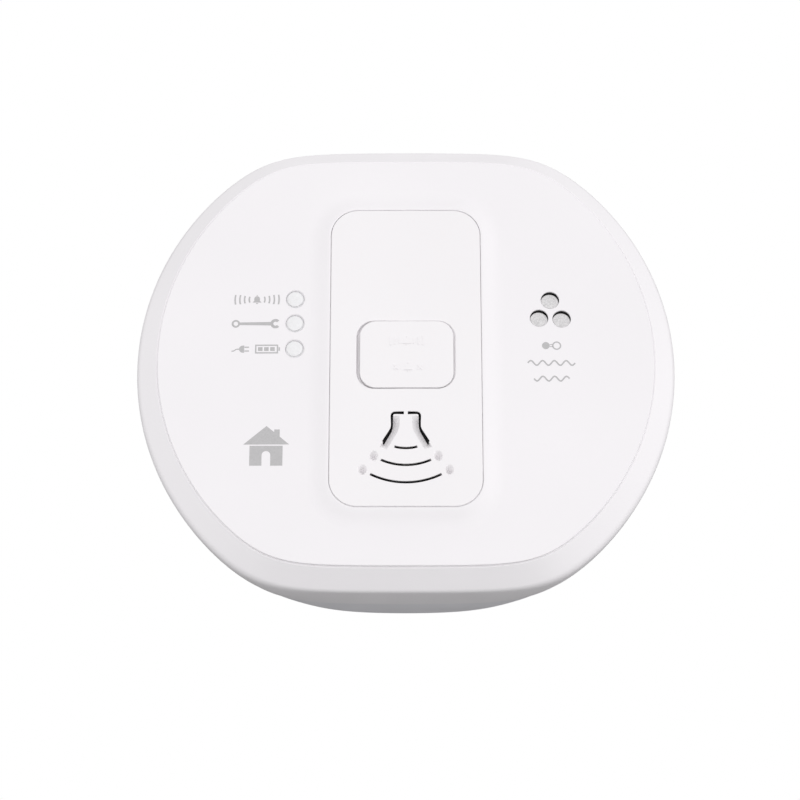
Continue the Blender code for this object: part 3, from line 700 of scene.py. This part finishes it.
def button_opening(low, high):
    """Straight through, with a ledge and a sloping lip round the button, deepest and widest at its left."""
    angles = around(180)
    size = BUTTON + BUTTON_CLEARANCE
    outer = (BUTTON_CENTRE[0] + LIP_SHIFT, BUTTON_CENTRE[1])
    all_round, sides, left = LIP_DROP
    drop = all_round + sides * np.cos(angles) ** 2 + left * np.maximum(-np.cos(angles), 0.0) ** 2
    ledge = PANEL_DEPTH - drop
    stations = [
        (rounded(low, size, angles, centre=BUTTON_CENTRE), 0.0),
        (rounded(ledge - 0.03, size, angles, centre=BUTTON_CENTRE), 0.0),
        (rounded(ledge, size + LEDGE_WIDTH, angles, centre=outer), 0.0),
        (rounded(PANEL_DEPTH - 0.02, size + LIP_WIDTH, angles, centre=outer), 0.12),
        (rounded(PANEL_DEPTH + 0.03, size + LIP_WIDTH + 0.4, angles, centre=outer), 0.0),
        (rounded(high, size + LIP_WIDTH + 0.4, angles, centre=outer), 0.0),
    ]
    return loft("opening", soften(stations))


def dimple(radius, reach):
    """A soft oval hollow in line with a sound arc, beyond one of its ends."""
    turn = math.radians(270.0) + math.asin(reach / radius)
    centre = (SLOT_CENTRE[0] + radius * math.cos(turn), SLOT_CENTRE[1] + radius * math.sin(turn))
    angles = np.radians(np.linspace(0.0, 360.0, 40, endpoint=False) + 2.3)
    rings = []
    for share in np.linspace(0.02, 1.0, 10):
        depth = PANEL_DEPTH + 0.02 - (DIMPLE_DEPTH + 0.02) * (0.5 + 0.5 * math.cos(math.pi * share))
        points = ring(depth, np.full(40, share), angles)
        rings.append(points * (DIMPLE[0], DIMPLE[1], 1.0) + (*centre, 0.0))
    rings.append(rings[-1] + (0.0, 0.0, 1.0))
    return loft("dimple", rings)


def bell_slope(side):
    """The bell's flank: it slopes down from the bell's flat middle to the slot along its outline."""
    spacing, overrun, run_out = 0.25, 0.3, 5
    line = smooth_line([(-side * point[0], point[1]) for point in (FLANK_TOP, *BELL_LINE[2:])], 1.07)
    points = [np.array(line[0])]
    for start, end in zip(line, line[1:]):
        count = max(int(np.linalg.norm(end - start) / spacing), 1)
        points += [start + (end - start) * (i + 1) / count for i in range(count)]
    last = points[-1] - points[-2]
    points += [points[-1] + last / np.linalg.norm(last) * overrun * (i + 1) for i in range(run_out)]
    length = len(points) - 1
    rings = []
    for i, point in enumerate(points):
        before, after = points[max(i - 1, 0)], points[min(i + 1, length)]
        along = (after - before) / np.linalg.norm(after - before)
        inward = np.array((-along[1], along[0])) * -side
        start_fade = min((i + 0.3) / 4.0, 1.0)
        end_fade = 0.5 - 0.5 * math.cos(math.pi * min((length - i + 0.2) / 6.0, 1.0))
        fade = start_fade * end_fade
        edge = point + inward * (FLANK_WIDTH + 0.06)
        section = []
        for u in np.linspace(0.0, 1.0, 9):
            depth = FLANK_STEP + (1.0 - u) * FLANK_FALL
            section.append((*(point + inward * FLANK_WIDTH * u), PANEL_DEPTH - depth * fade))
        section.append((*edge, PANEL_DEPTH + 0.02))
        section.append((*edge, PANEL_DEPTH + 1.0))
        section.append((*point, PANEL_DEPTH + 1.0))
        rings.append(np.array(section))
    return loft("flank", rings)


def button_crown(reach):
    """Height of the button's crown at a share of the way from its middle to its edge."""
    return BUTTON_DEPTH - MARK_RELIEF - BUTTON_SINK - BUTTON_CROWN * reach**2


def make_test_button():
    """A crowned cap with a crisp rolled edge, its flange behind the panel, and the stem."""
    angles = around(160)
    centre = BUTTON_CENTRE
    flange_front = PANEL_DEPTH - PANEL_SKIN - 0.3
    stations = [
        (rounded(flange_front - 1.5, BUTTON_FLANGE, angles, centre=centre), 0.15),
        (rounded(flange_front, BUTTON_FLANGE, angles, centre=centre), 0.15),
        (rounded(flange_front, BUTTON, angles, centre=centre), 0.1),
        (rounded(button_crown(1.0), BUTTON, angles, centre=centre), 0.2),
    ]
    for t in (0.88, 0.7, 0.5, 0.3, 0.1, 0.01):
        reach = rounded_reach(BUTTON, angles) * t
        stations.append((ring(button_crown(t), reach, angles, centre), 0.0))
    cap = loft("button_cap", soften(stations))
    low, high = STEM_BACK, flange_front - 0.8
    stem = turned("stem", ((0.0, low), (STEM_RADIUS, low), (STEM_RADIUS, high), (0.0, high)), centre)
    return carve(cap, [stem], "UNION")


def make_rear_shell():
    """The housing behind: a softly rounded tub with the bayonet's tracks and the switch's window."""
    angles = around(300, 54.0, 66.0)
    floor = SHELL_BACK + WALL
    profile = (
        (SHELL_BACK, 40.0, 38.0, 0.0),
        (SHELL_BACK, 47.2, 45.0, 0.5),
        (3.8, 49.6, 47.4, 1.6),
        (8.0, 52.4, 49.8, 3.0),
        (13.0, 54.2, 50.5, 4.0),
        (20.0, 56.4, 51.4, 3.0),
        (SHELL_FRONT, 58.1, 52.0, 0.25),
        (SHELL_FRONT, 56.1, 50.0, 0.2),
        (13.0, 52.2, 48.5, 4.0),
        (8.0, 50.4, 47.8, 2.0),
        (floor, 45.6, 43.4, 0.8),
        (floor, 40.0, 38.0, 0.0),
    )
    shell = loft("shell_skin", soften(flat_sided_stations(profile, angles)))
    low, high = SHELL_BACK - 1.0, floor + 1.0
    front = span("circuit_board")[0][2] - 0.3
    profile = (
        (0.0, floor - 1.0),
        (4.6, floor - 1.0),
        (4.2, floor + 0.6),
        (3.4, floor + 2.0),
        (3.2, front),
        (1.45, front),
        (1.45, 12.0),
        (0.0, 12.0),
    )
    posts, tools = [], []
    for number in range(1, 5):
        posts.append(turned("post", profile, middle(f"board_screw_{number}"), steps=40))
    for angle in HOOK_ANGLES:
        reach = HOOK_HALF_ANGLE + 0.8
        turn = angle - RELEASE_TURN
        narrow = band((0.0, 0.0), HOOK_RADIUS, 2.8, turn - reach, angle + reach)
        wide = band((0.0, 0.0), HOOK_RADIUS - 1.25, 5.3, turn - reach, turn + reach, 12)
        tools.append(prism("track", narrow, low, high))
        tools.append(prism("entry", wide, low - 0.2, high + 0.2))
    x, y, _ = middle("power_switch_body")
    window = [(x + dx, y + dy) for dx, dy in ((-3.7, -1.7), (3.7, -1.7), (3.7, 1.7), (-3.7, 1.7))]
    tools.append(prism("window", window, low, high))
    carve(shell, posts, "UNION")
    return carve(shell, tools)


def groove_tool(centre, radius, width, depth):
    """A round groove cut into the plate from behind."""
    low, high = radius - width / 2, radius + width / 2
    profile = ((low, -1.0), (high, -1.0), (high, depth), (low, depth))
    return turned("groove", profile, centre, steps=90, looped=True)


def make_mounting_plate():
    """A disc with keyholes, four hooks, a lightening recess with ribs and a knock-out for a cable."""
    thick = PLATE_THICKNESS
    edge = PLATE_RADIUS
    profile = (
        (edge - 0.4, 0.0),
        (edge, 0.4),
        (edge, thick - 0.5),
        (edge - 0.15, thick - 0.15),
        (edge - 0.5, thick),
    )
    plate = turned("plate_disc", profile, steps=180)
    hooks = []
    head_low = SHELL_BACK + WALL + 0.4
    for angle in HOOK_ANGLES:
        first, last = angle - HOOK_HALF_ANGLE, angle + HOOK_HALF_ANGLE
        stem = band((0.0, 0.0), HOOK_RADIUS, 2.0, first, last, 12)
        head = band((0.0, 0.0), HOOK_RADIUS - 1.25, 4.5, first, last, 12)
        hooks.append(prism("stem", stem, thick - 1.0, head_low + 0.5))
        hooks.append(prism("head", head, head_low, head_low + 1.5))
    carve(plate, hooks, "UNION")
    tools = []
    pitch = 360.0 / POCKETS
    for i in range(POCKETS):
        start = pitch * i + RIB_HALF_ANGLE
        end = pitch * (i + 1) - RIB_HALF_ANGLE
        tools.append(prism("pocket", band((0.0, 0.0), 38.9, 7.0, start, end, 8), -1.0, 1.0))
    tools.append(groove_tool((0.0, -24.0), 6.0, 0.7, 1.3))
    for i in range(3):
        tools.append(groove_tool((0.0, 0.0), 13.0 - 2.2 * i, 0.9, 0.5))
    low, high = -1.0, thick + 1.0
    for x, y in KEYHOLES:
        entry = ((0.0, low), (KEYHOLE_ENTRY, low), (KEYHOLE_ENTRY, high), (0.0, high))
        tools.append(turned("entry", entry, (x, y - 6.0)))
        for name, half_width, foot, depth in (("slot", 2.2, -5.0, low), ("pad", 3.6, -3.6, thick - 0.5)):
            top = arc_points((x, y + 2.8), half_width, 180.0, 0.0)
            outline = [(x - half_width, y + foot), *top, (x + half_width, y + foot)]
            tools.append(prism(name, outline[::-1], depth, high))
    return carve(plate, tools)


def make_vent_shade_pad():
    """The black foam pad behind the cover, with its holes under the vents: a dark pad put there as painted
    shade, so the gaps round the bosses show black.
    """
    low, high = span("vent_pad")[0][2], span("vent_pad")[1][2]
    radius = PAD_HOLE_RADIUS
    profile = ((0.0, low), (SCREEN_RADIUS, low), (SCREEN_RADIUS, high), (0.0, high))
    pad = turned("vent_shade_pad", profile, SENSOR_CENTRE, soft=0.15)
    profile = (
        (0.0, low - 1.0),
        (radius, low - 1.0),
        (radius, high - 0.05),
        (radius + 0.07, high + 1.0),
        (0.0, high + 1.0),
    )
    tools = []
    for x, y in VENTS:
        tools.append(turned("hole", profile, SENSOR_CENTRE[:2] + (x, y), steps=48))
    return carve(pad, tools)


def make_vent_screen():
    """The pale screen over the sensor, with a boss in each vent that slopes down to the upper right."""
    low, high = span("dust_screen")[0][2], SCREEN_FRONT
    profile = ((0.0, low), (SCREEN_RADIUS, low), (SCREEN_RADIUS, high), (0.0, high))
    screen = turned("vent_screen", profile, SENSOR_CENTRE, soft=0.12)
    angles = np.radians(np.linspace(0.0, 360.0, 72, endpoint=False))
    turn = angles - BOSS_CUT_HEADING
    cut = BOSS_CUT_SHIFT * np.cos(turn) + np.sqrt(BOSS_RADIUS**2 - (BOSS_CUT_SHIFT * np.sin(turn)) ** 2)
    outline = np.minimum(BOSS_RADIUS, cut)
    bosses = []
    for x, y in VENTS:
        centre = SENSOR_CENTRE[:2] + (x, y)
        stations = [(ring(high - 0.3, outline, angles, centre), 0.0)]
        for share, rise in ((1.0, 0.0), (0.6, 0.02), (0.2, 0.03)):
            points = ring(0.0, outline * share, angles, centre)
            points[:, 2] = face_depth(*centre) - BOSS_DROP + rise - (points[:, :2] - centre) @ BOSS_SLOPE
            stations.append((points, 0.15 if share == 1.0 else 0.0))
        bosses.append(loft("boss", soften(stations)))
    return carve(screen, bosses, "UNION")


def make_light_pipe(node):
    """A milky rod with a shallow domed end, level with the face."""
    x, y, _ = middle(node)
    back, front = span(node)[0][2], span(node)[1][2]
    surface = min(face_depth(x, y), front - 0.12)
    radius, collar = PIPE_RADIUS, PIPE_HOLE_RADIUS - 0.03
    profile = [(0.0, back), (1.5, back), (radius, 37.8), (2.4, 37.8), (2.4, 39.2), (collar, 39.2)]
    profile += [(collar, surface - 0.5), (radius, surface - 0.46), (radius, surface - 0.15)]
    for angle in np.linspace(0.0, math.pi / 2, 7)[:-1]:
        profile.append((radius * math.cos(angle * 0.98), surface - 0.1 + 0.2 * math.sin(angle)))
    profile.append((0.0, surface + 0.1))
    return turned(node + "_rod", profile, (x, y), steps=48)


# ---------------------------------------------------------------- printed and raised marks


def moved(outline, centre, scale=1.0):
    return [(centre[0] + x * scale, centre[1] + y * scale) for x, y in outline]


def box_outline(left, right, height, half):
    """An upright box from left to right, as far above a height as below it."""
    return [(left, height - half), (right, height - half), (right, height + half), (left, height + half)]


def bell_glyph(centre, scale=1.0):
    dome = arc_points((0.0, 0.2), 0.62, 180.0, 0.0, 14)
    body = [(-1.0, -0.7), (-0.62, -0.3)] + dome + [(0.62, -0.3), (1.0, -0.7)]
    clapper = [(-0.27, -0.82)] + arc_points((0.0, -0.82), 0.27, 180.0, 360.0, 10)
    knob = arc_points((0.0, 0.97), 0.15, -20.0, 200.0, 10)
    return [moved(shape, centre, scale) for shape in (body[::-1], clapper, knob)]


def sound_glyph(centre, waves=4, scale=1.0):
    """Sound spreading to both sides of a bell."""
    shapes = bell_glyph(centre, scale)
    for i in range(waves):
        radius = 1.75 + 1.05 * i
        spread = math.degrees(math.asin(min(0.7 + 0.2 * i, 1.15) / radius))
        for side in (0.0, 180.0):
            wave = band((0.0, 0.0), radius, 0.34, side - spread, side + spread, 10)
            shapes.append(moved(wave, centre, scale))
    return shapes


def spanner_glyph(centre):
    """An open spanner lying on its side, with a ring at its other end."""
    handle = [(-3.95, -0.3), (3.55, -0.42), (3.55, 0.42), (-3.95, 0.3)]
    eye = [band((-4.6, 0.0), 0.72, 0.42, 0.0, 180.0, 18), band((-4.6, 0.0), 0.72, 0.42, 180.0, 360.0, 18)]
    jaw = band((4.2, 0.0), 0.8, 0.65, 42.0, 318.0, 24)
    return [moved(shape, centre) for shape in (handle, *eye, jaw)]


def battery_glyph(centre):
    """A plug and cord beside a charged cell."""
    outer = box_outline(-0.2, 4.9, 0.0, 1.05)
    inner = box_outline(0.1, 4.6, 0.0, 0.75)
    shapes = []
    for i in range(4):
        j = (i + 1) % 4
        shapes.append([outer[i], outer[j], inner[j], inner[i]])
    shapes.append(box_outline(4.98, 5.3, 0.0, 0.4))
    for i in range(3):
        left = 0.45 + 1.35 * i
        shapes.append(box_outline(left, left + 1.0, 0.0, 0.45))
    plug = [(-2.6, -0.85), *arc_points((-2.9, 0.0), 0.85, 270.0, 90.0, 12), (-2.6, 0.85)]
    shapes.append(plug[::-1])
    shapes += [box_outline(-2.55, -1.55, y, 0.14) for y in (-0.45, 0.45)]
    shapes.append(stroke([(-5.4, -0.5), (-4.9, -0.42), (-4.4, -0.05), (-3.7, 0.0)], 0.26))
    return [moved(shape, centre) for shape in shapes]


def molecule_glyph(centre):
    """Two joined atoms, one filled and one open."""
    solid = arc_points((-1.25, 0.0), 0.85, 0.0, 345.0, 23)
    open_ring = [band((1.15, 0.0), 0.85, 0.3, start, start + 180.0, 18) for start in (0.0, 180.0)]
    bonds = [box_outline(-0.4, 0.26, y, 0.09) for y in (-0.25, 0.25)]
    return [moved(shape, centre) for shape in (solid, *open_ring, *bonds)]


def wave_glyph(centre, half_length, waves):
    xs = np.linspace(-half_length, half_length, 16 * waves + 1)
    line = [(x, 0.55 * math.sin(math.pi * waves * x / half_length)) for x in xs]
    return [moved(stroke(line, 0.34), centre)]


def house_glyph(centre):
    """A plain house with a chimney, a door and a round window."""
    door = [(0.95, -4.3)] + [(0.95, -1.9)] + arc_points((0.0, -1.9), 0.95, 0.0, 180.0, 12) + [(-0.95, -4.3)]
    walls = [(-3.6, -4.3), *door[::-1], (3.6, -4.3), (3.6, 0.25), (-3.6, 0.25)]
    roof = [(-5.0, 0.55), (5.0, 0.55), (2.9, 2.35), (2.9, 4.0), (1.7, 4.0), (1.7, 3.38), (0.0, 4.8)]
    return [moved(shape, centre) for shape in (walls, roof)]


def cross_outline(arm, half_width):
    """A diagonal cross as one outline."""
    outline = []
    for i in range(4):
        turn = math.radians(45.0 - 90.0 * i)
        across, up = math.cos(turn), math.sin(turn)
        for x, y in ((half_width, half_width), (arm, half_width), (arm, -half_width)):
            outline.append((x * across - y * up, x * up + y * across))
    return outline


def film(name, shapes, surface, below, above):
    """Outlines as one thin layer that follows a surface, from a little below it to a little above."""
    low, high = (lambda x, y: surface(x, y) - below), (lambda x, y: surface(x, y) + above)
    return joined(name, [prism(name, shape, low, high) for shape in shapes])


def make_prints(finishes):
    """The print beside the indicators, under the vents and at lower left: plain signs in place of words."""
    label_x = -33.1
    heights = [middle(node)[1] for node in ("alarm_light_pipe", "fault_light_pipe", "power_light_pipe")]
    prints = {
        "alarm_sign": sound_glyph((label_x, heights[0] - 0.1)),
        "fault_sign": spanner_glyph((label_x, heights[1] - 0.1)),
        "power_sign": battery_glyph((label_x, heights[2] - 0.1)),
        "gas_sign": molecule_glyph((SENSOR_CENTRE[0] + 0.1, 2.7)),
        "gas_wave_upper": wave_glyph((SENSOR_CENTRE[0], -1.4), 5.2, 4),
        "gas_wave_lower": wave_glyph((SENSOR_CENTRE[0], -5.1), 3.9, 3),
        "house_sign": house_glyph((-30.4, -20.9)),
    }
    for name, shapes in prints.items():
        layer = film(name, shapes, face_depth, 0.05, 0.02)
        stand_up(layer, finishes["print_ink"], "alarm")


def make_button_marks(finishes):
    """Faint raised signs on the button: sound it, or hush it."""
    x, y, _ = BUTTON_CENTRE
    upper, lower = (x, y + 3.1), (x + 0.3, y - 3.1)
    hush = bell_glyph(lower, 0.95)
    for side in (-1.0, 1.0):
        hush.append(moved(cross_outline(0.75, 0.17), (lower[0] + side * 2.6, lower[1])))

    def crown(px, py):
        return button_crown(max(abs(px - x) / BUTTON[0], abs(py - y) / BUTTON[1]))

    for name, shapes in (("sound_mark", sound_glyph(upper, 3, 0.95)), ("hush_mark", hush)):
        layer = film(name, shapes, crown, 0.2, MARK_RELIEF)
        stand_up(layer, finishes["panel_plastic"], "button")


# ---------------------------------------------------------------- studio

# Plain round floor, metres
FLOOR_RADIUS = 3.4
FLOOR_HEIGHT = -0.45

# Camera: its angle below the face's axis, its distance from the rim's plane and the point that it looks at
CAMERA_BELOW = math.radians(21.1)
CAMERA_DISTANCE = 0.510
CAMERA_TARGET = Vector((-1.3, -33.55, -6.87)) * MM
CAMERA_LENS = 102.87

# Light from a direction: level + slope . direction, times a share that rises smoothly between two limits
# of the direction's y, for what comes from the front, and of its z, for what comes from below
WORLD_LEVEL = 1.285
WORLD_LEAST = 0.05
WORLD_SLOPE = (0.206, 0.0, -0.307)
WORLD_FRONT = (0.156, 0.416, 1.0, 0.2)
WORLD_BELOW = (-0.924, -0.716, 0.1, 1.0)


def make_floor():
    """A plain pale round floor, well below the alarm."""
    mesh = bpy.data.meshes.new("floor")
    edge = ring(FLOOR_HEIGHT, FLOOR_RADIUS, np.radians(np.linspace(0.0, 360.0, 128, endpoint=False)))
    mesh.from_pydata([tuple(point) for point in edge], [], [tuple(range(len(edge)))])
    floor = new_object("floor", mesh)
    finish = Finish("floor", (0.82, 0.82, 0.82), 0.7)
    finish.rough(finish.noise(40.0, 3.0), 0.05)
    mesh.materials.append(finish.material)
    floor.visible_diffuse = False
    floor.visible_glossy = False


def make_world():
    """Soft light, strongest from the front, the right and below, but weak from straight below."""
    world = bpy.data.worlds.new("studio")
    bpy.context.scene.world = world
    world.use_nodes = True
    nodes, links = world.node_tree.nodes, world.node_tree.links
    nodes.clear()
    place = nodes.new("ShaderNodeTexCoord").outputs["Generated"]
    slope = nodes.new("ShaderNodeVectorMath")
    slope.operation = "DOT_PRODUCT"
    slope.inputs[1].default_value = WORLD_SLOPE
    links.new(place, slope.inputs[0])
    level = nodes.new("ShaderNodeMath")
    level.inputs[1].default_value = WORLD_LEVEL
    links.new(slope.outputs["Value"], level.inputs[0])
    parts = nodes.new("ShaderNodeSeparateXYZ")
    links.new(place, parts.inputs[0])
    light = level.outputs[0]
    for axis, limits in (("Y", WORLD_FRONT), ("Z", WORLD_BELOW)):
        share = nodes.new("ShaderNodeMapRange")
        share.interpolation_type = "SMOOTHSTEP"
        for socket, value in zip(("From Min", "From Max", "To Min", "To Max"), limits):
            share.inputs[socket].default_value = value
        links.new(parts.outputs[axis], share.inputs["Value"])
        dimmed = nodes.new("ShaderNodeMath")
        dimmed.operation = "MULTIPLY"
        links.new(light, dimmed.inputs[0])
        links.new(share.outputs["Result"], dimmed.inputs[1])
        light = dimmed.outputs[0]
    least = nodes.new("ShaderNodeMath")
    least.operation = "MAXIMUM"
    least.inputs[1].default_value = WORLD_LEAST
    links.new(light, least.inputs[0])
    soft = nodes.new("ShaderNodeBackground")
    soft.inputs["Color"].default_value = (1.0, 0.995, 1.0, 1.0)
    links.new(least.outputs[0], soft.inputs["Strength"])
    plain = nodes.new("ShaderNodeBackground")
    plain.inputs["Color"].default_value = (1.0, 1.0, 1.0, 1.0)
    path = nodes.new("ShaderNodeLightPath")
    mix = nodes.new("ShaderNodeMixShader")
    links.new(path.outputs["Is Camera Ray"], mix.inputs[0])
    links.new(soft.outputs[0], mix.inputs[1])
    links.new(plain.outputs[0], mix.inputs[2])
    output = nodes.new("ShaderNodeOutputWorld")
    links.new(mix.outputs[0], output.inputs["Surface"])


def make_camera():
    """From straight in front and 21 degrees below, at half a metre."""
    data = bpy.data.cameras.new("camera")
    data.lens = CAMERA_LENS
    data.sensor_width = 36.0
    camera = bpy.data.objects.new("camera", data)
    bpy.context.scene.collection.objects.link(camera)
    rim = Vector((0.0, -RIM_DEPTH * MM, 0.0))
    camera.location = rim - CAMERA_DISTANCE * Vector((0.0, math.cos(CAMERA_BELOW), math.sin(CAMERA_BELOW)))
    camera.rotation_euler = (CAMERA_TARGET - camera.location).to_track_quat("-Z", "Y").to_euler()
    bpy.context.scene.camera = camera


FINISHES = make_finishes()
for node, obj in frame["nodes"].items():
    obj.material_slots[0].material = FINISHES[SLOT_OF[node]]

for shape, body, node in (
    (make_front_cover(), "alarm", "front_cover"),
    (make_centre_panel(), "alarm", "centre_panel"),
    (make_test_button(), "button", "test_button"),
    (make_rear_shell(), "alarm", "rear_shell"),
    (make_mounting_plate(), "plate", "mounting_plate"),
):
    stand_up(shape, FINISHES[SLOT_OF[node]], body, [node])
for node in PIPES:
    stand_up(make_light_pipe(node), FINISHES["light_pipe"], "alarm", [node])
# The black pad behind the vents is painted shade for the dark crescents in them
stand_up(make_vent_shade_pad(), FINISHES["black_foam"], "alarm", ["vent_pad"])
stand_up(make_vent_screen(), FINISHES["white_membrane"], "alarm", ["dust_screen"])
make_prints(FINISHES)
make_button_marks(FINISHES)

make_floor()
make_world()
make_camera()
bpy.context.scene.view_settings.view_transform = "Standard"
